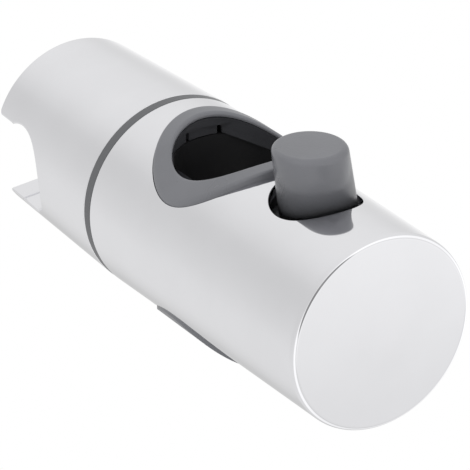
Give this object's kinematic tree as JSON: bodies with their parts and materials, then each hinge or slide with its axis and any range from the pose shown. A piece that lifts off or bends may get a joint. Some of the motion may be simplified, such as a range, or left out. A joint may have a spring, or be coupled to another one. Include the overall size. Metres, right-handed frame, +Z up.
{
  "type": "shower_rail_slider",
  "caption": "Chromed barrel-shaped shower rail slider with a swivelling handset socket, a grey push button and an open rail channel at one end",
  "frame": {"origin": "where the rail's axis crosses the barrel's axis", "axes": "+X along the barrel from the rail towards its closed end, +Y along the rail, +Z up square to both"},
  "size_m": [0.1105, 0.04, 0.0496],
  "materials": {
    "chrome_shell": "polished",
    "grey_plastic": "satin",
    "black_plastic": "matte",
    "natural_plastic": "matte",
    "black_rubber": "matte",
    "bare_steel": "satin"
  },
  "bodies": {
    "rear_body": {"rear_shell": "chrome_shell", "swivel_hub": "black_plastic", "hub_screws": "bare_steel", "swivel_ring": "grey_plastic", "friction_oring": "black_rubber", "thrust_washer": "natural_plastic", "retaining_clip": "bare_steel", "brake_spring": "bare_steel"},
    "front_body": {"front_shell": "chrome_shell", "front_chassis": "black_plastic", "chassis_screws": "bare_steel", "socket_rim": "grey_plastic", "socket_sleeve": "black_plastic", "socket_cone": "black_plastic", "socket_collar": "grey_plastic", "button_spring": "bare_steel"},
    "brake": {"brake_shoe": "natural_plastic", "brake_pad": "black_rubber", "pull_rod": "bare_steel"},
    "yoke": {"release_yoke": "natural_plastic"},
    "button": {"push_button": "grey_plastic"}
  },
  "joints": [
    {"name": "swivel", "type": "hinge", "parent": "rear_body", "child": "front_body", "pos_m": [0.0302, 0, 0], "axis": [1, 0, 0], "range_deg": [-84.7, 95.3]},
    {"name": "button_press", "type": "slide", "parent": "front_body", "child": "button", "axis": [0, -0.0924, -0.9957], "range_m": [0, 0.004], "stiffness_N_per_m": 900, "springref_m": -0.0012, "deforming": ["button_spring"]},
    {"name": "yoke_slide", "type": "slide", "parent": "front_body", "child": "yoke", "axis": [1, 0, 0], "range_m": [0, 0.0014]},
    {"name": "brake_slide", "type": "slide", "parent": "rear_body", "child": "brake", "axis": [1, 0, 0], "range_m": [0, 0.0014], "stiffness_N_per_m": 2500, "springref_m": -0.003, "deforming": ["brake_spring"]}
  ],
  "couplings": [
    {"joint": "yoke_slide", "follows": "button_press", "ratio": 0.35},
    {"joint": "brake_slide", "follows": "button_press", "ratio": 0.35}
  ]
}
